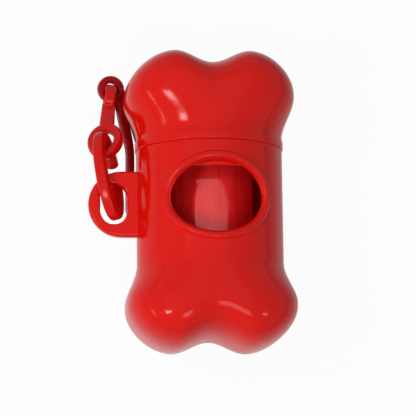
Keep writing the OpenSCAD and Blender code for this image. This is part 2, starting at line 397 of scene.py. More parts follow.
def window_bead_tree() -> bpy.types.NodeTree:
    """Builds the tree that lays a round bead on the waist along an oval.

    Returns:
        The tree, which makes its own path from the oval's and the waist's sizes.
    """
    tree = bpy.data.node_groups.new("window_bead", "GeometryNodeTree")
    add_socket(tree, "Geometry", "Geometry")
    for name in ("Half Width", "Half Length", "Waist Radius", "Bead Radius", "Middle X",
                 "Middle Y", "Middle Z"):
        add_socket(tree, name, "Float", default=0.01)
    add_socket(tree, "Path Steps", "Int", default=160)
    add_socket(tree, "Section Steps", "Int", default=20)
    add_socket(tree, "Material", "Material")
    add_socket(tree, "Geometry", "Geometry", output=True)
    g = NodeGraph(tree)
    given = g.add("NodeGroupInput").outputs
    circle = g.add("GeometryNodeCurvePrimitiveCircle",
                   {"Resolution": given["Path Steps"], "Radius": 1.0}, mode="RADIUS")
    unit = g.add("ShaderNodeSeparateXYZ", {0: g.add("GeometryNodeInputPosition").outputs[0]})
    x = g.math("MULTIPLY", unit.outputs["X"], given["Half Width"])
    y = g.math("MULTIPLY", unit.outputs["Y"], given["Half Length"])
    under = g.math("SUBTRACT", g.math("POWER", given["Waist Radius"], 2.0), g.math("POWER", x, 2.0))
    place = g.add("ShaderNodeCombineXYZ", {
        "X": g.math("ADD", x, given["Middle X"]), "Y": g.math("ADD", y, given["Middle Y"]),
        "Z": g.math("ADD", g.math("SQRT", under), given["Middle Z"])})
    path = g.add("GeometryNodeSetPosition",
                 {"Geometry": circle.outputs[0], "Position": place.outputs[0]})
    section = g.add("GeometryNodeCurvePrimitiveCircle",
                    {"Resolution": given["Section Steps"], "Radius": given["Bead Radius"]},
                    mode="RADIUS")
    swept = g.add("GeometryNodeCurveToMesh",
                  {"Curve": path.outputs[0], "Profile Curve": section.outputs[0]})
    real = g.add("GeometryNodeRealizeInstances", {0: swept.outputs[0]})
    dressed = g.add("GeometryNodeSetMaterial",
                    {"Geometry": real.outputs[0], "Material": given["Material"]})
    g.add("NodeGroupOutput", {0: dressed.outputs[0]})
    return tree


# --------------------------------------------------------------------------- finishes


class SurfaceGroups:
    """Shader groups that several finishes share, each built once."""

    def __init__(self) -> None:
        """Builds the groups."""
        self.skin = self._moulded_skin()
        self.marks = self._handling_marks()

    @staticmethod
    def _start(name: str, outputs: Sequence[str]) -> tuple[NodeGraph, bpy.types.Node]:
        """Starts a group with a vector, a scale and two limits as its inputs.

        Args:
            name: Name of the group.
            outputs: Names of its outputs, which are all plain numbers.

        Returns:
            The helper that adds its nodes, and its input node.
        """
        tree = bpy.data.node_groups.new(name, "ShaderNodeTree")
        add_socket(tree, "Vector", "Vector")
        add_socket(tree, "Scale", "Float", default=1.0)
        add_socket(tree, "Low", "Float", default=0.0)
        add_socket(tree, "High", "Float", default=1.0)
        for output in outputs:
            add_socket(tree, output, "Float", output=True)
        graph = NodeGraph(tree)
        return graph, graph.add("NodeGroupInput")

    def _moulded_skin(self) -> bpy.types.NodeTree:
        """Builds the slight ripple, uneven gloss and tint of a moulded plastic skin.

        Returns:
            The group's tree.
        """
        g, entry = self._start("moulded_skin", ("Height", "Roughness", "Tint"))
        given = entry.outputs
        fine = g.add("ShaderNodeTexNoise", {
            "Vector": given["Vector"], "Scale": g.math("MULTIPLY", given["Scale"], FINE_RIPPLE),
            "Detail": 2.0, "Roughness": 0.5})
        broad = g.add("ShaderNodeTexNoise", {
            "Vector": given["Vector"], "Scale": g.math("MULTIPLY", given["Scale"], BROAD_RIPPLE),
            "Detail": 3.0, "Roughness": 0.55, "Distortion": 0.4})
        gloss = g.add("ShaderNodeMapRange", {
            "Value": broad.outputs[0], "From Min": 0.3, "From Max": 0.7,
            "To Min": given["Low"], "To Max": given["High"]})
        ripple = g.math("ADD", g.math("MULTIPLY", fine.outputs[0], 0.3), broad.outputs[0])
        tint = g.add("ShaderNodeMapRange", {
            "Value": broad.outputs[0], "From Min": 0.25, "From Max": 0.75})
        g.add("NodeGroupOutput", {"Height": ripple, "Roughness": gloss.outputs[0],
                                  "Tint": tint.outputs[0]})
        return g.tree

    def _handling_marks(self) -> bpy.types.NodeTree:
        """Builds sparse fine scuffs that run mostly along the piece.

        Returns:
            The group's tree.
        """
        g, entry = self._start("handling_marks", ("Mask",))
        given = entry.outputs
        drawn = g.add("ShaderNodeVectorMath", {0: given["Vector"], 1: (1.0, 0.06, 1.0)},
                      operation="MULTIPLY")
        lines = g.add("ShaderNodeTexNoise", {
            "Vector": drawn.outputs[0], "Detail": 1.0,
            "Scale": g.math("MULTIPLY", given["Scale"], SCUFF_LINES)})
        where = g.add("ShaderNodeTexNoise", {
            "Vector": given["Vector"],
            "Scale": g.math("MULTIPLY", given["Scale"], SCUFF_PATCHES)})
        thin = g.add("ShaderNodeMapRange", {"Value": lines.outputs[0], "From Min": 0.66,
                                            "From Max": 0.74, "To Min": given["Low"],
                                            "To Max": given["High"]})
        rare = g.add("ShaderNodeMapRange", {"Value": where.outputs[0], "From Min": 0.52,
                                            "From Max": 0.66})
        g.add("NodeGroupOutput", {"Mask": g.math("MULTIPLY", thin.outputs[0], rare.outputs[0])})
        return g.tree


@dataclass(frozen=True)
class PlasticFinish:
    """Moulded plastic with a slight skin ripple, uneven gloss and fine scuffs."""

    name: str
    colour: tuple[float, float, float]
    deep: tuple[float, float, float]
    gloss: tuple[float, float] = (0.1, 0.16)
    ripple: float = 0.00003
    grain: float = 1.0
    scuff: float = 0.12
    ior: float = 1.25

    def build(self, groups: SurfaceGroups) -> bpy.types.Material:
        """Builds the material.

        Args:
            groups: The shared shader groups.

        Returns:
            The new material.
        """
        material, g = start_material(self.name)
        place = g.add("ShaderNodeTexCoord").outputs["Object"]
        skin = g.group(groups.skin, {"Vector": place, "Scale": self.grain, "Low": self.gloss[0],
                                     "High": self.gloss[1]}).outputs
        marks = g.group(groups.marks, {"Vector": place, "Scale": self.grain, "Low": 0.0,
                                       "High": 1.0}).outputs
        worn = g.math("ADD", skin["Roughness"], g.math("MULTIPLY", marks["Mask"], self.scuff))
        relief = g.add("ShaderNodeBump", {
            "Height": skin["Height"], "Strength": 1.0, "Distance": self.ripple})
        shader = g.add("ShaderNodeBsdfPrincipled", {
            "Base Color": g.two_tone(skin["Tint"], self.deep, self.colour), "Roughness": worn,
            "Normal": relief.outputs[0], "IOR": self.ior})
        g.add("ShaderNodeOutputMaterial", {"Surface": shader.outputs[0]})
        return material


@dataclass(frozen=True)
class FilmFinish:
    """Thin glossy film wound tight, with creases along the roll and a few bubbles."""

    name: str = "wound_film"
    # The film's red is its own colour raised brighter, partly painted light that makes up for the
    # light that the shell keeps off the roll.
    colour: tuple[float, float, float] = (0.95, 0.03, 0.035)
    deep: tuple[float, float, float] = (0.86, 0.01, 0.01)
    axis: tuple[float, float] = (5.15 * MM, 16.86 * MM)
    grain: float = 0.8
    gloss: tuple[float, float] = (0.13, 0.24)
    crease_scale: float = 420.0
    crease_height: float = 0.7
    bubble_scale: float = 300.0
    bubble_height: float = 0.9
    relief: float = 0.00012
    ior: float = 1.5
    coat: float = 0.2
    coat_gloss: float = 0.12

    def build(self, groups: SurfaceGroups) -> bpy.types.Material:
        """Builds the material.

        Args:
            groups: The shared shader groups.

        Returns:
            The new material.
        """
        material, g = start_material(self.name)
        place = g.add("ShaderNodeTexCoord").outputs["Object"]
        centred = g.add("ShaderNodeMapping", {
            "Vector": place, "Location": (-self.axis[0], 0.0, -self.axis[1])})
        skin = g.group(groups.skin, {"Vector": place, "Scale": self.grain, "Low": self.gloss[0],
                                     "High": self.gloss[1]}).outputs
        along = g.add("ShaderNodeVectorMath", {0: centred.outputs[0], 1: (1.0, 0.1, 1.0)},
                      operation="MULTIPLY")
        creases = g.add("ShaderNodeTexNoise", {
            "Vector": along.outputs[0], "Scale": self.crease_scale, "Detail": 3.0,
            "Roughness": 0.6})
        across = g.add("ShaderNodeVectorMath", {0: centred.outputs[0], 1: (0.25, 1.0, 0.25)},
                       operation="MULTIPLY")
        bubbles = g.add("ShaderNodeTexNoise", {
            "Vector": across.outputs[0], "Scale": self.bubble_scale, "Detail": 1.0})
        rare = g.add("ShaderNodeMapRange", {
            "Value": bubbles.outputs[0], "From Min": 0.6, "From Max": 0.78})
        height = g.math("ADD", g.math("MULTIPLY", creases.outputs[0], self.crease_height),
                        g.math("MULTIPLY", rare.outputs[0], self.bubble_height))
        relief = g.add("ShaderNodeBump", {"Height": height, "Strength": 1.0,
                                          "Distance": self.relief})
        shader = g.add("ShaderNodeBsdfPrincipled", {
            "Base Color": g.two_tone(creases.outputs[0], self.deep, self.colour, 0.35, 0.65),
            "Roughness": skin["Roughness"], "Normal": relief.outputs[0], "IOR": self.ior,
            "Coat Weight": self.coat, "Coat Roughness": self.coat_gloss})
        g.add("ShaderNodeOutputMaterial", {"Surface": shader.outputs[0]})
        return material


@dataclass(frozen=True)
class CardFinish:
    """Plain grey-brown card, with the helical laps of a wound tube and short fibres."""

    name: str = "wound_card"
    colour: tuple[float, float, float] = (0.46, 0.34, 0.22)
    deep: tuple[float, float, float] = (0.33, 0.23, 0.14)
    gloss: tuple[float, float] = (0.75, 0.9)
    fibre_scale: float = 2400.0
    fibre_height: float = 0.4
    lap_scale: float = 28.0
    relief: float = 0.00006
    ior: float = 1.4

    def build(self, groups: SurfaceGroups) -> bpy.types.Material:
        """Builds the material.

        Args:
            groups: The shared shader groups.

        Returns:
            The new material.
        """
        material, g = start_material(self.name)
        place = g.add("ShaderNodeTexCoord").outputs["Object"]
        skin = g.group(groups.skin, {"Vector": place, "Scale": 1.0, "Low": self.gloss[0],
                                     "High": self.gloss[1]}).outputs
        fibres = g.add("ShaderNodeTexNoise", {
            "Vector": place, "Scale": self.fibre_scale, "Detail": 4.0, "Distortion": 1.5})
        laps = g.add("ShaderNodeTexWave", {
            "Vector": place, "Scale": self.lap_scale, "Distortion": 0.2},
            wave_type="BANDS", bands_direction="DIAGONAL", wave_profile="SAW")
        height = g.math("ADD", g.math("MULTIPLY", fibres.outputs[0], self.fibre_height),
                        laps.outputs["Fac"])
        relief = g.add("ShaderNodeBump", {"Height": height, "Strength": 1.0,
                                          "Distance": self.relief})
        shader = g.add("ShaderNodeBsdfPrincipled", {
            "Base Color": g.two_tone(fibres.outputs[0], self.deep, self.colour, 0.3, 0.7),
            "Roughness": skin["Roughness"], "Normal": relief.outputs[0], "IOR": self.ior})
        g.add("ShaderNodeOutputMaterial", {"Surface": shader.outputs[0]})
        return material


SHELL_RED = PlasticFinish("shell_red", colour=(0.74, 0.005, 0.001), deep=(0.7, 0.004, 0.001))
CHAIN_RED = PlasticFinish("chain_red", colour=(0.68, 0.006, 0.002), deep=(0.62, 0.004, 0.002),
                          gloss=(0.14, 0.22), ripple=0.00004, grain=2.0)
# The clip's red is the chain's plastic made darker, painted shade for the shadow that the clip lies in
# beside the body.
CLIP_SHADED_RED = PlasticFinish("clip_red_painted_shade", colour=(0.36, 0.002, 0.005), deep=(0.33, 0.002, 0.004),
                         gloss=(0.2, 0.3), ripple=0.00004, grain=2.0)


# --------------------------------------------------------------------------- the bone


@dataclass(frozen=True)
class BoneForm:
    """Outer form of the bone, which both shells share."""

    length: float = 84.55 * MM
    waist_radius: float = 20.6 * MM
    lobe_out: float = 3.3 * MM
    lobe_back: float = 1.08 * MM
    lobe_reach: float = 13.1 * MM
    flare_length: float = 11.5 * MM
    tip_gap: float = 22.8 * MM
    notch: float = 3.2 * MM
    valley: float = 0.6 * MM
    rest_cut: float = 0.58 * MM
    end_wall: float = 2.6 * MM
    end_round: float = 5.0 * MM
    side_power: float = 2.8
    end_power_x: float = 2.6
    end_power_z: float = 2.4
    last_turn: float = 88.6
    tip_power: float = 2.1
    tip_fade: int = 10
    dimple: float = 0.35
    axis_x: float = 5.15 * MM
    around: int = 192
    flare_rings: int = 26
    end_rings: int = 44
    round_steps: int = 10
    block_size: float = 0.2

    @property
    def half_width(self) -> float:
        """Half width over the lobes."""
        return self.waist_radius + self.lobe_out

    @property
    def half_depth(self) -> float:
        """Half depth over the lobes, before the resting flats are cut."""
        return self.waist_radius + self.lobe_back

    @property
    def axis_z(self) -> float:
        """Height of the bone's axis above the table."""
        return self.half_depth - self.rest_cut

    @property
    def wide_y(self) -> float:
        """Place of the widest section along the bone."""
        return self.length / 2 - self.lobe_reach

    @property
    def flare_y(self) -> float:
        """Place where the waist starts to swell."""
        return self.wide_y - self.flare_length

    @property
    def notch_y(self) -> float:
        """Place of the notch's bottom between two tips."""
        return self.length / 2 - self.notch

    @property
    def hollow_y(self) -> float:
        """Place of the hollow's end."""
        return self.notch_y - self.end_wall

    def tip_rise(self, x: float) -> float:
        """How far the tips reach past the notch.

        Args:
            x: Distance from the bone's axis, to either side.

        Returns:
            The reach there, which is nothing in the notch's middle.
        """
        end_length, tip_x, a = self.notch_y - self.wide_y, self.tip_gap / 2, abs(x)
        share = 1 - (1 - (tip_x / self.half_width) ** self.end_power_x) ** (1 / self.end_power_x)
        height = self.notch + end_length * share
        if a < tip_x:
            return height * math.sin(math.pi / 2 * a / tip_x) ** 2
        return height * math.cos(min(1.0, (a - tip_x) / (self.half_width - tip_x)) * math.pi / 2)

    def point(self, y: float, half_x: float, half_z: float, power: float, turn: float) -> Vector:
        """A point of the bone, moved on to the lobes and into the valley.

        Args:
            y: Place of its section along the bone.
            half_x: Half width of the section.
            half_z: Half depth of the section.
            power: Power of the section's outline, where 2 is an oval.
            turn: Angle round the section, in radians.

        Returns:
            The point in the row's frame.
        """
        x = half_x * signed_power(math.cos(turn), 2 / power)
        z = half_z * signed_power(math.sin(turn), 2 / power)
        rise = ease((y - self.flare_y) / (self.hollow_y - self.flare_y))
        near = math.cos(math.pi / 2 * x / (self.tip_gap / 2)) ** 2 if abs(x) < self.tip_gap / 2 else 0
        z *= 1 - self.valley / self.half_depth * near * rise
        return Vector((x + self.axis_x, y + self.tip_rise(x) * rise, z + self.axis_z))

    def ring(self, y: float, half_x: float, half_z: float, power: float = 2.0) -> Ring:
        """One ring of points round the bone."""
        return [self.point(y, half_x, half_z, power, math.tau * k / self.around)
                for k in range(self.around)]

    def outer_rings(self) -> list[Ring]:
        """Rings of the flare and the rounded end.

        Returns:
            The rings, from the waist outward.
        """
        rings = []
        for i in range(self.flare_rings + 1):
            t = i / self.flare_rings
            s = ease(t)
            rings.append(self.ring(self.flare_y + t * self.flare_length,
                                   self.waist_radius + s * self.lobe_out,
                                   self.waist_radius + s * self.lobe_back,
                                   2 + s * (self.side_power - 2)))
        for i in range(1, self.end_rings + 1):
            a = math.radians(i * self.last_turn / self.end_rings)
            t = math.sin(a) ** (2 / self.end_power_x)
            power = self.side_power + (self.tip_power - self.side_power) * t ** self.tip_fade
            rings.append(self.ring(self.wide_y + t * (self.notch_y - self.wide_y),
                                   self.half_width * math.cos(a) ** (2 / self.end_power_x),
                                   self.half_depth * (1 - t ** self.end_power_z)
                                   ** (1 / self.end_power_z), power))
        return rings

    def bore_ring(self, y: float, radius: float) -> Ring:
        """One ring of points round a bore.

        Args:
            y: Place of the ring along the bone.
            radius: Its radius.

        Returns:
            The ring.
        """
        return [Vector((self.axis_x + radius * math.cos(math.tau * k / self.around), y,
                        self.axis_z + radius * math.sin(math.tau * k / self.around)))
                for k in range(self.around)]

    def hollow_rings(self, radius: float, start: float) -> list[Ring]:
        """Rings of a round hollow with a rounded end.

        Args:
            radius: Radius of the hollow.
            start: Place of its mouth along the bone.

        Returns:
            The rings, from the mouth inward.
        """
        rings = [self.bore_ring(start, radius)]
        centre = self.hollow_y - self.end_round
        for a in quarter_turn(self.round_steps):
            rings.append(self.bore_ring(centre + self.end_round * math.sin(a),
                                        radius - self.end_round * (1 - math.cos(a))))
        rings.append(self.bore_ring(self.hollow_y, radius * self.dimple))
        return rings

    def table_block(self) -> bpy.types.Object:
        """Block below the resting flats, which is cut away.

        Returns:
            The block, with its top on the table.
        """
        bm = bmesh.new()
        bmesh.ops.create_cube(bm, size=self.block_size,
                              matrix=Matrix.Translation((0, 0, -self.block_size / 2)))
        mesh = bpy.data.meshes.new("table_block")
        bm.to_mesh(mesh)
        bm.free()
        return new_object("table_block", mesh)


@dataclass
class CapShell:
    """Cap end of the bone, with a rim band and a plug that slides into the body."""

    form: BoneForm
    seam_y: float = 14.4 * MM
    rim_proud: float = 0.3 * MM
    rim_height: float = 2.4 * MM
    rim_round: float = 0.5 * MM
    rim_steps: int = 5
    band_share: float = 0.6
    plug_length: float = 7.0 * MM
    plug_radius: float = 18.64 * MM
    plug_wall: float = 1.1 * MM
    plug_round: float = 0.35 * MM
    plug_lead: float = 1.0 * MM
    plug_steps: int = 4
    crease_angle: float = 32.0

    def build(self, material: bpy.types.Material) -> bpy.types.Object:
        """Builds the cap and puts it on its body.

        Args:
            material: The shell's material.

        Returns:
            The cap.
        """
        f, proud, r = self.form, self.form.waist_radius + self.rim_proud, self.rim_round
        rings = list(reversed(f.outer_rings()))
        rings.append(f.ring(self.seam_y + self.rim_height, proud, proud))
        rings.append(f.ring(self.seam_y + self.rim_height * self.band_share, proud, proud))
        for a in quarter_turn(self.rim_steps):
            edge = proud - r * (1 - math.cos(a))
            rings.append(f.ring(self.seam_y + r * (1 - math.sin(a)), edge, edge))
        rings.append(f.bore_ring(self.seam_y, self.plug_radius))
        low, p = self.seam_y - self.plug_length, self.plug_round
        rings.append(f.bore_ring(low + self.plug_lead, self.plug_radius))
        rings += [f.bore_ring(low + p * (1 - math.sin(a)), self.plug_radius - p * (1 - math.cos(a)))
                  for a in quarter_turn(self.plug_steps)]
        rings += f.hollow_rings(self.plug_radius - self.plug_wall, low)
        mesh = mesh_from_rings("shell_cap", rings, Vector((f.axis_x, f.notch_y, f.axis_z)),
                               Vector((f.axis_x, f.hollow_y, f.axis_z)))
        cap = new_object("shell_cap", mesh)
        combine(cap, [(f.table_block(), "DIFFERENCE")])
        shade(cap, self.crease_angle)
        dress(cap, material)
        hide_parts("cap_shell")
        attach(cap, Body.CAP.value)
        return cap


@dataclass
class SideLug:
    """Flat lug with a round end, rounded edges and an oval hole."""

    form: BoneForm
    out: float = 13.6 * MM
    height: float = 18.6 * MM
    thickness: float = 3.5 * MM
    middle_y: float = -0.7 * MM
    hole_width: float = 7.7 * MM
    hole_aside: float = 2.2 * MM
    hole_height: float = 11.6 * MM
    edge_round: float = 0.9 * MM
    hole_round: float = 0.6 * MM
    root: float = 19.3 * MM
    steps: int = 120
    probes: int = 60
    corner_steps: int = 5

    def _reach(self, turn: float) -> tuple[float, float]:
        """How far the hole's edge and the lug's edge lie from the hole's centre.

        Args:
            turn: Angle from the +X side, in radians.

        Returns:
            The distances to the hole's edge and to the lug's edge.
        """
        r = self.height / 2
        end_x = -(self.form.waist_radius + self.out - r)
        hole_x = end_x - self.hole_aside
        dx, dy = math.cos(turn), math.sin(turn)
        straight = (self.hole_height - self.hole_width) / 2
        hr, inner = self.hole_width / 2, 0.0
        for step in range(self.probes, 0, -1):
            t = self.hole_height / 2 * step / self.probes
            y = t * abs(dy)
            over = max(0.0, y - straight)
            if math.hypot(t * dx, over) <= hr:
                inner = t
                break
        reaches = []
        if abs(dy) > TINY:
            reaches.append(r / abs(dy))
        if dx > TINY:
            reaches.append((-self.root - hole_x) / dx)
        outer = min(reaches) if reaches else 1.0
        if hole_x + outer * dx < end_x or not reaches:
            b = (hole_x - end_x) * dx
            outer = -b + math.sqrt(b * b - (hole_x - end_x) ** 2 + r * r)
        return inner, outer

    def solid(self) -> bpy.types.Object:
        """Builds the lug as a closed ring of sections round its hole.

        Returns:
            The lug.
        """
        f, e, h = self.form, self.edge_round, self.hole_round
        half = self.thickness / 2
        hole_x = f.axis_x - (f.waist_radius + self.out - self.height / 2) - self.hole_aside
        rings: list[Ring] = []
        for k in range(self.steps):
            turn = math.tau * (k + 0.5) / self.steps
            inner, outer = self._reach(turn)
            section = []
            for corner_u, corner_v, start, radius in (
                    (outer - e, half - e, 0, e), (inner + h, half - h, 1, h),
                    (inner + h, -half + h, 2, h), (outer - e, -half + e, 3, e)):
                for i in range(self.corner_steps + 1):
                    a = math.pi / 2 * (start + i / self.corner_steps)
                    section.append((corner_u + radius * math.cos(a), corner_v + radius * math.sin(a)))
            rings.append([Vector((hole_x + u * math.cos(turn), self.middle_y + u * math.sin(turn),
                                  f.axis_z + v)) for u, v in section])
        return new_object("side_lug", mesh_from_rings("side_lug", rings, closed=True))


@dataclass
class BodyShell:
    """Long shell of the bone, with the window, its bead and the lug."""

    form: BoneForm
    lug: SideLug
    seam_y: float = 14.4 * MM
    seam_round: float = 0.3 * MM
    seam_steps: int = 5
    waist_shares: tuple[float, ...] = (0.75, 0.5, 0.25, 0.0, -0.25, -0.5, -0.75)
    bore_radius: float = 18.7 * MM
    window_width: float = 25.6 * MM
    window_height: float = 20.4 * MM
    window_y: float = -1.3 * MM
    window_points: int = 160
    cut_levels: tuple[float, float] = (6.0 * MM, 30.0 * MM)
    bead_radius: float = 1.1 * MM
    bead_above: float = -0.08 * MM
    lip_radius: float = 0.62 * MM
    lip_aside: float = 0.6
    lip_above: float = -0.35 * MM
    crease_angle: float = 34.0

    def _shell(self) -> bpy.types.Object:
        """Builds the plain hollow shell.

        Returns:
            The shell, without its window, bead and lug.
        """
        f, r = self.form, self.seam_round
        rings = list(reversed(f.outer_rings()))
        for share in self.waist_shares:
            rings.append(f.ring(f.flare_y * share, f.waist_radius, f.waist_radius))
        for a in quarter_turn(self.seam_steps):
            edge = f.waist_radius - r * (1 - math.cos(a))
            rings.append(f.ring(-self.seam_y + r * (1 - math.sin(a)), edge, edge))
        rings += f.hollow_rings(self.bore_radius, -self.seam_y)
        mesh = mesh_from_rings("shell_body", rings, Vector((f.axis_x, f.notch_y, f.axis_z)),
                               Vector((f.axis_x, f.hollow_y, f.axis_z)))
        mesh.transform(Matrix.Scale(-1.0, 4, (0.0, 1.0, 0.0)))
        face_outwards(mesh)
        return new_object("shell_body", mesh)

    def _window_cutter(self) -> bpy.types.Object:
        """Builds the oval prism that cuts the window.

        Returns:
            The prism.
        """
        f = self.form
        levels = [f.axis_z + level for level in self.cut_levels]
        turns = [math.tau * k / self.window_points for k in range(self.window_points)]
        rings = [[Vector((f.axis_x + self.window_width / 2 * math.cos(turn),
                          self.window_y + self.window_height / 2 * math.sin(turn), z))
                  for turn in turns] for z in levels]
        poles = [Vector((f.axis_x, self.window_y, z)) for z in levels]
        return new_object("window_cutter", mesh_from_rings("window_cutter", rings, poles[0], poles[1]))

    def _bead(self, tree: bpy.types.NodeTree, material: bpy.types.Material, radius: float,
              aside: float, above: float) -> bpy.types.Object:
        """Builds one rounded bead round the window.

        Args:
            tree: The bead's Geometry Nodes tree.
            material: The shell's material.
            radius: Radius of the bead's section.
            aside: Distance of its middle line outside the window's edge.
            above: Height of its middle line above the waist's surface.

        Returns:
            The bead.
        """
        f = self.form
        bead = new_object("window_bead", bpy.data.meshes.new("window_bead"))
        run_tree(bead, tree, {
            "Half Width": self.window_width / 2 + aside, "Half Length": self.window_height / 2 + aside,
            "Waist Radius": f.waist_radius + above, "Bead Radius": radius, "Middle X": f.axis_x,
            "Middle Y": self.window_y, "Middle Z": f.axis_z, "Material": material})
        face_outwards(bead.data)
        return bead

    def build(self, material: bpy.types.Material) -> bpy.types.Object:
        """Builds the body shell and puts it on its body.

        Args:
            material: The shell's material.

        Returns:
            The body shell.
        """
        tree = window_bead_tree()
        shell = self._shell()
        combine(shell, [
            (self.lug.solid(), "UNION"),
            (self.form.table_block(), "DIFFERENCE"),
            (self._window_cutter(), "DIFFERENCE"),
            (self._bead(tree, material, self.bead_radius, self.bead_radius, self.bead_above),
             "UNION"),
            (self._bead(tree, material, self.lip_radius, self.lip_radius * self.lip_aside,
                        self.lip_above), "UNION")])
        shade(shell, self.crease_angle)
        dress(shell, material)
        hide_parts("body_shell")
        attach(shell, Body.BODY.value)
        return shell


# --------------------------------------------------------------------------- the roll


@dataclass
class BagRoll:
    """Wound roll of film on its card tube.

    Each wave of the film's outside has its count round the roll, its run along the roll and
    its depth in millimetres.
    """

    form: BoneForm
    radius: float = 13.0 * MM
    length: float = 58.0 * MM
    core_radius: float = 6.2 * MM
    core_fit: float = 0.06 * MM
    core_wall: float = 1.0 * MM
    film_step: float = 0.35 * MM
    drop: float = 4.24 * MM
    start_y: float = -34.2 * MM
    loose_edge: float = math.radians(200.0)
    loose_gap: float = 0.02
    waves: tuple[tuple[int, int, float], ...] = ((5, 90, 0.03), (11, -260, 0.02))
    around: int = 240
    layers: int = 16
    end_inset: float = 0.12 * MM
    layer_high: float = 0.05 * MM
    layer_deep: float = 0.22 * MM
    layer_wave: float = 0.1 * MM
    outside_start: float = 0.003
    outside_span: float = 0.994
    outside_steps: int = 60
    tube_soft: float = 0.18 * MM
    tube_steps: int = 12
    tube_around: int = 96
    crease_angle: float = 40.0

    def _place(self, radius: float, turn: float, y: float) -> Vector:
        """A point about the roll's axis, with its angle counted as the CAD counts it."""
        return Vector((self.form.axis_x + radius * math.cos(turn), y,
                       self.form.axis_z - self.drop - radius * math.sin(turn)))

    def _film_ring(self, radius: float, y: float, slack: float) -> Ring:
        """One spiral turn of film with the step of its loose edge.

        Args:
            radius: Radius at the loose edge's outer side.
            y: Place along the roll.
            slack: How unevenly the film lies, from 0 to 1.

        Returns:
            The ring of points.
        """
        ring = []
        for k in range(self.around):
            share = k / (self.around - 1)
            turn = self.loose_edge + math.tau * (k + self.loose_gap * (k == 0)) / self.around
            lie = sum(math.sin(count * turn + run * y) * depth
                      for count, run, depth in self.waves) * MM
            grow = (radius - self.core_radius) / (self.radius - self.core_radius)
            r = radius - self.film_step * share * grow - abs(lie) * slack
            ring.append(self._place(max(r, self.core_radius), turn, y))
        return ring

    def _film_mesh(self) -> bpy.types.Mesh:
        """Builds the wound film with layered ends and a slightly uneven outside.

        Returns:
            The film's mesh.
        """
        ends: list[list[Ring]] = []
        for side in (0, 1):
            rings = []
            for i in range(self.layers * 2 + 1):
                share = i / (self.layers * 2)
                radius = (self.core_radius
                          + (self.radius - self.end_inset - self.core_radius) * share)
                inset = ((self.layer_deep if i % 2 else self.layer_high)
                         + self.layer_wave * math.sin(7 * share) ** 2)
                y = self.start_y + (inset if side == 0 else self.length - inset)
                rings.append(self._film_ring(radius, y, 0.0))
            ends.append(rings)
        steps = self.outside_steps
        places = [self.start_y + self.length * (self.outside_start + self.outside_span * i / steps)
                  for i in range(steps + 1)]
        outside = [self._film_ring(self.radius, y, 1.0) for y in places]
        rings = ends[0] + outside + list(reversed(ends[1]))
        return mesh_from_rings("film_roll", rings, closed=True)

    def _tube_mesh(self) -> bpy.types.Mesh:
        """Builds the card tube with softly broken edges.

        Returns:
            The tube's mesh.
        """
        outer, inner = self.core_radius - self.core_fit, self.core_radius - self.core_wall
        low, high, soft = self.start_y, self.start_y + self.length, self.tube_soft
        steps, around = self.tube_steps, self.tube_around
        profile = [(inner, low + soft), (inner + soft, low), (outer - soft, low), (outer, low + soft)]
        profile += [(outer, low + (high - low) * i / steps) for i in range(1, steps)]
        profile += [(outer, high - soft), (outer - soft, high), (inner + soft, high),
                    (inner, high - soft)]
        profile += [(inner, high - (high - low) * i / steps) for i in range(1, steps)]
        rings = [[self._place(r, math.tau * k / around, y) for k in range(around)]
                 for r, y in profile]
        return mesh_from_rings("card_tube", rings, closed=True)

    def build(self, film: bpy.types.Material, card: bpy.types.Material) -> list[bpy.types.Object]:
        """Builds the roll and its tube and puts them on their body.

        Args:
            film: Material of the wound film.
            card: Material of the tube.

        Returns:
            The roll and the tube.
        """
        pieces = []
        for mesh, material, node, slot in (
                (self._film_mesh(), film, "bag_roll", Slot.FILM),
                (self._tube_mesh(), card, "roll_core", Slot.CARD)):
            piece = new_object(mesh.name, mesh)
            dress(piece, material)
            shade(piece, self.crease_angle)
            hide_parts(node)
            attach(piece, Body.ROLL.value)
            pieces.append(piece)
        return pieces


# --------------------------------------------------------------------------- the chain


def turned(*degrees: float) -> Matrix:
    """Rotation about X, then Y, then Z, by angles in degrees."""
    return Euler([math.radians(a) for a in degrees], "XYZ").to_matrix().to_4x4()


@dataclass
class Bar:
    """One bar of rectangular section with rounded corners along a flat path."""

    path: list[tuple[float, float]]
    width: float
    thickness: float
    corner: float
    closed: bool = False

    def build(self, name: str, tree: bpy.types.NodeTree, material: bpy.types.Material,
              place: Matrix) -> bpy.types.Object:
        """Builds the bar at its place.

        Args:
            name: Name of the object.
            tree: The bar's Geometry Nodes tree.
            material: The bar's material.
            place: Place of the path's plane in the row's frame.

        Returns:
            The bar.
        """
        count = len(self.path)
        edges = [(i, (i + 1) % count) for i in range(count if self.closed else count - 1)]
        mesh = bpy.data.meshes.new(name)
        mesh.from_pydata([(x, y, 0.0) for x, y in self.path], edges, [])
        bar = new_object(name, mesh)
        run_tree(bar, tree, {"Width": self.width, "Thickness": self.thickness,
                             "Corner": self.corner, "Material": material})
        bar.data.transform(place)
        face_outwards(bar.data)
        return bar


def oval(half_x: float, half_y: float, start: float = 0.0, end: float = 360.0,
         steps: int = 96, closed: bool = True) -> list[tuple[float, float]]:
    """Points of an oval, or of a part of it.

    Args:
        half_x: Half width.
        half_y: Half length.
        start: Angle of the first point, in degrees.
        end: Angle at the end, in degrees.
        steps: Number of points.
        closed: Whether the oval is whole, so that its end isn't drawn twice.

    Returns:
        The points.
    """
    count = steps if closed else steps - 1
    return [(half_x * math.cos(math.radians(start + (end - start) * i / count)),
             half_y * math.sin(math.radians(start + (end - start) * i / count)))
            for i in range(steps)]


def join_bars(name: str, bars: Sequence[bpy.types.Object]) -> bpy.types.Object:
    """Joins bars into one object without changing their shapes.

    Args:
        name: Name of the new object.
        bars: The bars, which are removed.

    Returns:
        The new object.
    """
    bm = bmesh.new()
    for bar in bars:
        bm.from_mesh(bar.data)
    mesh = bpy.data.meshes.new(name)
    bm.to_mesh(mesh)
    bm.free()
    for bar in bars:
        data = bar.data
        bpy.data.objects.remove(bar)
        bpy.data.meshes.remove(data)
    return new_object(name, mesh)


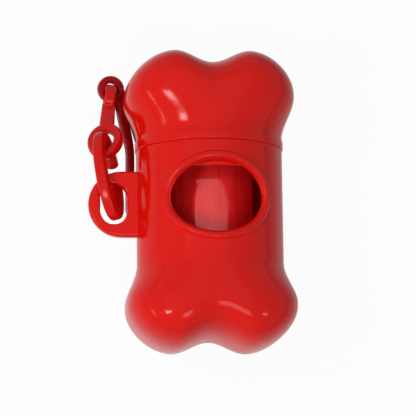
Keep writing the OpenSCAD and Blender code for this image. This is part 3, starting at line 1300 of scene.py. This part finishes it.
@dataclass
class SnapChain:
    """Open link, twin-eye link and clip that hang from the lug.

    Places are counted from the bone's axis, and angles are in degrees.
    """

    form: BoneForm
    open_length: float = 26.2 * MM
    open_width: float = 13.2 * MM
    open_bar: float = 3.3 * MM
    open_corner: float = 1.0 * MM
    open_dome: float = 0.8 * MM
    open_at: tuple[float, float, float] = (-28.4 * MM, 7.7 * MM, -0.9 * MM)
    open_tilt: tuple[float, float, float] = (-8.0, 0.0, 8.0)
    open_roll: float = 64.0
    open_points: int = 120
    slit: float = 2.0 * MM
    slit_at: float = 11.0
    dome_share: float = 0.96
    dome_rings: int = 16
    dome_points: int = 32
    ring_width: float = 10.2 * MM
    ring_length: float = 13.4 * MM
    ring_bar: float = 2.7 * MM
    ring_corner: float = 0.95 * MM
    twin_length: float = 18.3 * MM
    twin_at: tuple[float, float, float] = (-28.9 * MM, 18.3 * MM, -4.3 * MM)
    twin_tilt: tuple[float, float, float] = (-36.6, 0.0, -8.2)
    twin_roll: float = -18.0
    neck_width: float = 4.3 * MM
    neck_end: float = 3.9 * MM
    neck_bite: float = 0.3 * MM
    neck_flat: float = 0.86
    neck_power: float = 0.6
    neck_rings: int = 16
    neck_points: int = 40
    cross_radius: float = 4.25 * MM
    cross_bar: float = 2.15 * MM
    cross_thickness: float = 3.2 * MM
    cross_corner: float = 0.7 * MM
    clip_bar: float = 2.2 * MM
    clip_thickness: float = 3.1 * MM
    clip_corner: float = 0.75 * MM
    clip_length: float = 39.0 * MM
    clip_at: tuple[float, float, float] = (-26.4 * MM, 35.8 * MM, -15.2 * MM)
    clip_tilt: tuple[float, float, float] = (2.0, 12.0, 0.0)
    eye_radius: float = 3.9 * MM
    eye_bar: float = 2.1 * MM
    eye_thickness: float = 2.2 * MM
    eye_corner: float = 0.6 * MM
    spine_x: float = 5.85 * MM
    spine_bend: float = 20.0 * MM
    spine_steps: int = 24
    back_rib: float = 0.6 * MM
    rib_start: int = 2
    rib_full: int = 12
    rib_fade: int = 10
    hook_width: float = 9.5 * MM
    hook_step: int = 6
    nose_y: float = -22.5 * MM
    nose_steps: int = 4
    gate_root: tuple[float, float] = (6.4 * MM, -9.5 * MM)
    gate_over: float = 1.6 * MM
    gate_gap: float = 0.2 * MM
    gate_thickness: float = 1.2 * MM
    gate_inset: float = 0.9 * MM
    gate_corner: float = 0.35 * MM
    gate_steps: int = 20
    voxel: float = 0.16 * MM
    melt_rounds: int = 4
    bar_tree: bpy.types.NodeTree = field(default_factory=moulded_bar_tree)

    def _on_bone(self, at: Sequence[float]) -> Matrix:
        """Translation to a place that is counted from the bone's axis."""
        return Matrix.Translation(Vector(at) + Vector((self.form.axis_x, 0.0, self.form.axis_z)))

    def _finish(self, piece: bpy.types.Object, material: bpy.types.Material, node: str,
                body: Body) -> bpy.types.Object:
        """Melts, shades and dresses one piece and puts it on its body.

        Args:
            piece: The piece.
            material: Its material.
            node: Name of the CAD node that it replaces.
            body: Its body.

        Returns:
            The same piece.
        """
        soften(piece, self.voxel, self.melt_rounds)
        face_outwards(piece.data)
        shade(piece, SMOOTH_ALL_OVER)
        dress(piece, material)
        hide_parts(node)
        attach(piece, body.value)
        return piece

    def open_link(self, material: bpy.types.Material) -> bpy.types.Object:
        """Builds the open link through the lug's hole.

        Args:
            material: The chain's material.

        Returns:
            The link.
        """
        half_x = (self.open_width - self.open_bar) / 2
        half_y = (self.open_length - self.open_bar) / 2
        gap = math.degrees(math.asin((self.slit / 2 + self.open_dome) / half_y))
        path = oval(half_x, half_y, self.slit_at + gap, self.slit_at + 360 - gap,
                    self.open_points, closed=False)
        place = (self._on_bone(self.open_at) @ turned(*self.open_tilt)
                 @ turned(0, self.open_roll, 0))
        bar = Bar(path, self.open_bar, self.open_bar, self.open_corner).build(
            "open_bar", self.bar_tree, material, place)
        domes = [self._dome(path[0], path[1], place), self._dome(path[-1], path[-2], place)]
        link = join_bars("link_open", [bar, *domes])
        return self._finish(link, material, "open_link", Body.OPEN_LINK)

    def _dome(self, tip: tuple[float, float], before: tuple[float, float],
              place: Matrix) -> bpy.types.Object:
        """Builds the rounded end of the open link's bar.

        Args:
            tip: Last point of the bar's path.
            before: The point before it.
            place: Place of the path's plane.

        Returns:
            An egg-shaped solid that sits on the bar's end.
        """
        ahead = (Vector(tip) - Vector(before)).normalized()
        half = self.open_bar / 2 * self.dome_share
        turns = [math.tau * k / self.dome_points for k in range(self.dome_points)]
        rings: list[Ring] = []
        for i in range(1, self.dome_rings):
            a = math.pi * i / self.dome_rings
            along, round_r = -self.open_dome * math.cos(a), half * math.sin(a)
            rings.append([place @ Vector((
                tip[0] + ahead.x * along - ahead.y * round_r * math.cos(turn),
                tip[1] + ahead.y * along + ahead.x * round_r * math.cos(turn),
                round_r * math.sin(turn))) for turn in turns])
        poles = [place @ Vector((tip[0] + ahead.x * d, tip[1] + ahead.y * d, 0.0))
                 for d in (-self.open_dome, self.open_dome)]
        return new_object("dome", mesh_from_rings("dome", rings, poles[0], poles[1]))

    def _neck(self, place: Matrix) -> bpy.types.Object:
        """Builds the tapered neck between the link's two eyes.

        Args:
            place: Place of the flat eye's plane.

        Returns:
            The neck.
        """
        start = (self.ring_length - self.ring_bar) / 2 - self.neck_bite
        end = self.twin_length - self.cross_radius + self.cross_bar / 2 + self.neck_bite
        turns = [math.tau * k / self.neck_points for k in range(self.neck_points)]
        rings: list[Ring] = []
        for i in range(self.neck_rings + 1):
            t = i / self.neck_rings
            s = ease(t)
            half_x = (self.neck_width * (1 - s) + self.neck_end * s) / 2
            half_z = (self.ring_bar * self.neck_flat * (1 - s) + self.cross_bar * s) / 2
            lean = turned(0, -self.twin_roll * s, 0)
            along = Vector((0.0, start + (end - start) * t, 0.0))
            rings.append([place @ (lean @ Vector((
                half_x * signed_power(math.cos(turn), self.neck_power), 0.0,
                half_z * signed_power(math.sin(turn), self.neck_power))) + along)
                for turn in turns])
        caps = [sum(ring, Vector()) / len(ring) for ring in (rings[0], rings[-1])]
        return new_object("neck", mesh_from_rings("neck", rings, caps[0], caps[1]))

    def twin_eye_link(self, material: bpy.types.Material) -> bpy.types.Object:
        """Builds the link with a flat eye and a cross eye.

        Args:
            material: The chain's material.

        Returns:
            The link.
        """
        place = (self._on_bone(self.twin_at) @ turned(*self.twin_tilt)
                 @ turned(0, self.twin_roll, 0))
        flat = Bar(oval((self.ring_width - self.ring_bar) / 2, (self.ring_length - self.ring_bar) / 2),
                   self.ring_bar, self.ring_bar, self.ring_corner, closed=True)
        middle = self.cross_radius - self.cross_bar / 2
        cross = Bar(oval(middle, middle), self.cross_bar, self.cross_thickness,
                    self.cross_corner, closed=True)
        cross_place = (place @ Matrix.Translation((0.0, self.twin_length, 0.0))
                       @ turned(0, 90 - self.twin_roll, 0))
        piece = join_bars("link_twin", [
            flat.build("flat_eye", self.bar_tree, material, place),
            cross.build("cross_eye", self.bar_tree, material, cross_place),
            self._neck(place)])
        return self._finish(piece, material, "twin_eye_link", Body.TWIN_EYE_LINK)

    def _clip_place(self) -> Matrix:
        """Place of the clip's plane."""
        return self._on_bone(self.clip_at) @ turned(*self.clip_tilt)

    def clip(self, material: bpy.types.Material) -> bpy.types.Object:
        """Builds the clip's eye, spine and hook, with a rib that thickens its back.

        Args:
            material: The clip's material.

        Returns:
            The clip.
        """
        middle, steps = self.eye_radius - self.eye_bar / 2, self.spine_steps
        turn_r = (self.hook_width - self.clip_bar) / 2
        turn_x, turn_y = self.spine_x + turn_r, -self.clip_length + self.hook_width / 2
        spine = [(middle + (self.spine_x - middle) * ease(i / steps), -i / steps * self.spine_bend)
                 for i in range(steps + 1)]
        hook = [(turn_x + turn_r * math.cos(math.radians(a)),
                 turn_y + turn_r * math.sin(math.radians(a)))
                for a in range(180, 361, self.hook_step)]
        nose = [(turn_x + turn_r, turn_y + (self.nose_y - turn_y) * i / self.nose_steps)
                for i in range(1, self.nose_steps + 1)]
        rib = [(x - self.back_rib * (1 - ease((i - self.rib_full) / self.rib_fade)), y)
               for i, (x, y) in enumerate(spine)][self.rib_start:]
        place = self._clip_place()
        eye = Bar(oval(middle, middle), self.eye_bar, self.eye_thickness, self.eye_corner,
                  closed=True)
        back = Bar(rib, self.clip_bar, self.clip_thickness, self.clip_corner)
        front = Bar(spine + hook + nose, self.clip_bar, self.clip_thickness, self.clip_corner)
        piece = join_bars("clip_hook_and_eye", [
            eye.build("clip_eye", self.bar_tree, material, place),
            back.build("clip_back", self.bar_tree, material, place),
            front.build("clip_spine", self.bar_tree, material, place)])
        return self._finish(piece, material, "clip_hook", Body.CLIP)

    def gate(self, material: bpy.types.Material) -> bpy.types.Object:
        """Builds the clip's springy gate.

        Args:
            material: The clip's material.

        Returns:
            The gate.
        """
        nose_x = self.spine_x + self.hook_width - self.clip_bar
        tip = (nose_x - self.clip_bar / 2 - self.gate_thickness / 2 - self.gate_gap,
               self.nose_y - self.gate_over)
        root, steps = self.gate_root, self.gate_steps
        path = [(root[0] + (tip[0] - root[0]) * i / steps, root[1] + (tip[1] - root[1]) * i / steps)
                for i in range(steps + 1)]
        tongue = Bar(path, self.gate_thickness, self.clip_thickness - self.gate_inset,
                     self.gate_corner)
        bar = tongue.build("clip_gate_tongue", self.bar_tree, material, self._clip_place())
        return self._finish(bar, material, "clip_gate", Body.GATE)

    def build(self, chain: bpy.types.Material, clip: bpy.types.Material) -> list[bpy.types.Object]:
        """Builds every piece of the chain.

        Args:
            chain: Material of the two links.
            clip: Material of the clip and its gate.

        Returns:
            The pieces, from the lug outward.
        """
        return [self.open_link(chain), self.twin_eye_link(chain), self.clip(clip), self.gate(clip)]


# --------------------------------------------------------------------------- the studio


@dataclass(frozen=True)
class Panel:
    """One rectangular soft light, with its place and size in metres and its power in watts.

    A light without shine isn't seen in reflections.
    """

    name: str
    at: tuple[float, float, float]
    size: tuple[float, float]
    power: float
    aim: tuple[float, float, float] = (0.005, 0.0, 0.02)
    shine: bool = True


PANELS = (
    Panel("key_left", (-0.36, 0.06, 0.48), (0.06, 0.1), 0.8, shine=False),
    Panel("fill_front", (-0.03, -0.5, 0.2), (0.3, 0.2), 0.35, shine=False),
    Panel("ceiling", (-0.16, 0.17, 0.6), (0.84, 0.45), 0.3, aim=(-0.16, 0.17, 0.0)),
    Panel("patch_left", (-0.262, -0.09, 0.335), (0.055, 0.085), 0.36),
    Panel("strip_left", (-0.38, -0.12, 0.115), (0.12, 0.014), 0.08),
    Panel("window_front", (0.0, -0.2, 0.445), (0.13, 0.15), 0.3),
    Panel("spark_right", (0.152, -0.075, 0.182), (0.02, 0.02), 0.02),
)


@dataclass
class Studio:
    """White floor, soft lights and the camera at the photograph's angle."""

    form: BoneForm
    distance: float = 0.7
    view_width: float = 117.1 * MM
    right: tuple[float, float, float] = (0.9925, 0.0, 0.1219)
    up: tuple[float, float, float] = (-0.0212, 0.9848, 0.1723)
    toward: tuple[float, float, float] = (-0.1201, -0.1736, 0.9775)
    aside: float = -0.42 * MM
    above: float = -1.41 * MM
    roll: float = 0.8
    panels: Sequence[Panel] = PANELS
    room_light: float = 0.24
    floor_reach: float = 3.0
    floor_cells: int = 8
    floor_colour: tuple[float, float, float, float] = (0.85, 0.85, 0.85, 1.0)
    floor_white: float = 0.95
    floor_mirrored: float = 0.3

    def floor(self) -> bpy.types.Object:
        """Builds the white floor, which keeps the object's shadow.

        Returns:
            The floor.
        """
        bm = bmesh.new()
        bmesh.ops.create_grid(bm, x_segments=self.floor_cells, y_segments=self.floor_cells,
                              size=self.floor_reach)
        mesh = bpy.data.meshes.new("floor")
        bm.to_mesh(mesh)
        bm.free()
        floor = new_object("floor", mesh)
        material, g = start_material("white_floor")
        matt = g.add("ShaderNodeBsdfDiffuse", {"Color": self.floor_colour})
        white = g.add("ShaderNodeEmission", {"Color": WHITE, "Strength": 1.0})
        seen, mirrored = self._background_rays(g)
        share = g.math("MAXIMUM", g.math("MULTIPLY", seen, self.floor_white),
                       g.math("MULTIPLY", mirrored, self.floor_mirrored))
        both = g.add("ShaderNodeMixShader", {0: share, 1: matt.outputs[0], 2: white.outputs[0]})
        g.add("ShaderNodeOutputMaterial", {"Surface": both.outputs[0]})
        floor.data.materials.append(material)
        return floor

    @staticmethod
    def _background_rays(g: NodeGraph) -> tuple[bpy.types.NodeSocket, bpy.types.NodeSocket]:
        """Tells the rays that show the white background.

        Args:
            g: Helper of the material or world that asks.

        Returns:
            The mask of the camera's own rays, and that of the reflected and transmitted ones.
        """
        rays = g.add("ShaderNodeLightPath").outputs
        mirrored = g.math("MAXIMUM", rays["Is Glossy Ray"], rays["Is Transmission Ray"])
        return rays["Is Camera Ray"], mirrored

    def world(self) -> None:
        """Sets the room's even light and its white background."""
        world = bpy.data.worlds.new("studio")
        bpy.context.scene.world = world
        world.use_nodes = True
        world.node_tree.nodes.clear()
        g = NodeGraph(world.node_tree)
        shown = g.math("MAXIMUM", *self._background_rays(g))
        strength = g.add("ShaderNodeMix", {0: shown, 2: self.room_light, 3: 1.0},
                         data_type="FLOAT")
        back = g.add("ShaderNodeBackground", {"Color": WHITE, "Strength": strength.outputs[0]})
        g.add("ShaderNodeOutputWorld", {"Surface": back.outputs[0]})

    def lights(self) -> None:
        """Places the soft lights."""
        for panel in self.panels:
            light = bpy.data.lights.new(panel.name, "AREA")
            light.shape, light.size, light.size_y = "RECTANGLE", *panel.size
            light.energy = panel.power
            obj = bpy.data.objects.new(panel.name, light)
            obj.visible_glossy = panel.shine
            bpy.context.scene.collection.objects.link(obj)
            way = Vector(panel.aim) - Vector(panel.at)
            obj.matrix_world = (Matrix.Translation(panel.at)
                                @ way.to_track_quat("-Z", "Y").to_matrix().to_4x4())

    def camera(self) -> bpy.types.Object:
        """Places the camera.

        Returns:
            The camera.
        """
        right, up, toward = Vector(self.right), Vector(self.up), Vector(self.toward)
        aim = (Vector((self.form.axis_x, 0.0, self.form.axis_z)) + self.aside * right
               + self.above * up)
        a = math.radians(self.roll)
        tilted_up = up * math.cos(a) + right * math.sin(a)
        tilted_right = right * math.cos(a) - up * math.sin(a)
        data = bpy.data.cameras.new("camera")
        data.sensor_width = PICTURE_PLANE
        data.lens = PICTURE_PLANE * self.distance / self.view_width
        data.clip_start, data.clip_end = 0.01, 10.0
        camera = bpy.data.objects.new("camera", data)
        bpy.context.scene.collection.objects.link(camera)
        camera.matrix_world = Matrix.Translation(aim + toward * self.distance) @ Matrix(
            (tilted_right, tilted_up, toward)).transposed().to_4x4()
        bpy.context.scene.camera = camera
        return camera

    def build(self) -> None:
        """Builds the whole studio."""
        bpy.context.scene.view_settings.view_transform = "Standard"
        self.camera()
        self.floor()
        self.world()
        self.lights()


# --------------------------------------------------------------------------- the dispenser


def report(pieces: Sequence[bpy.types.Object]) -> None:
    """Logs each piece's name and number of faces.

    Args:
        pieces: The pieces.
    """
    for piece in pieces:
        LOG.info("%s: %d faces", piece.name, len(piece.data.polygons))


def main() -> None:
    """Builds the dispenser's pieces in order, then the studio."""
    logging.basicConfig(level=logging.INFO, format="%(name)s %(message)s")
    form = BoneForm()
    groups = SurfaceGroups()
    shell, chain, clip = (finish.build(groups) for finish in (SHELL_RED, CHAIN_RED, CLIP_SHADED_RED))
    film, card = FilmFinish().build(groups), CardFinish().build(groups)
    Studio(form).build()
    report([BodyShell(form, SideLug(form)).build(shell), CapShell(form).build(shell)])
    report(BagRoll(form).build(film, card))
    report(SnapChain(form).build(chain, clip))


if __name__ == "__main__":
    main()
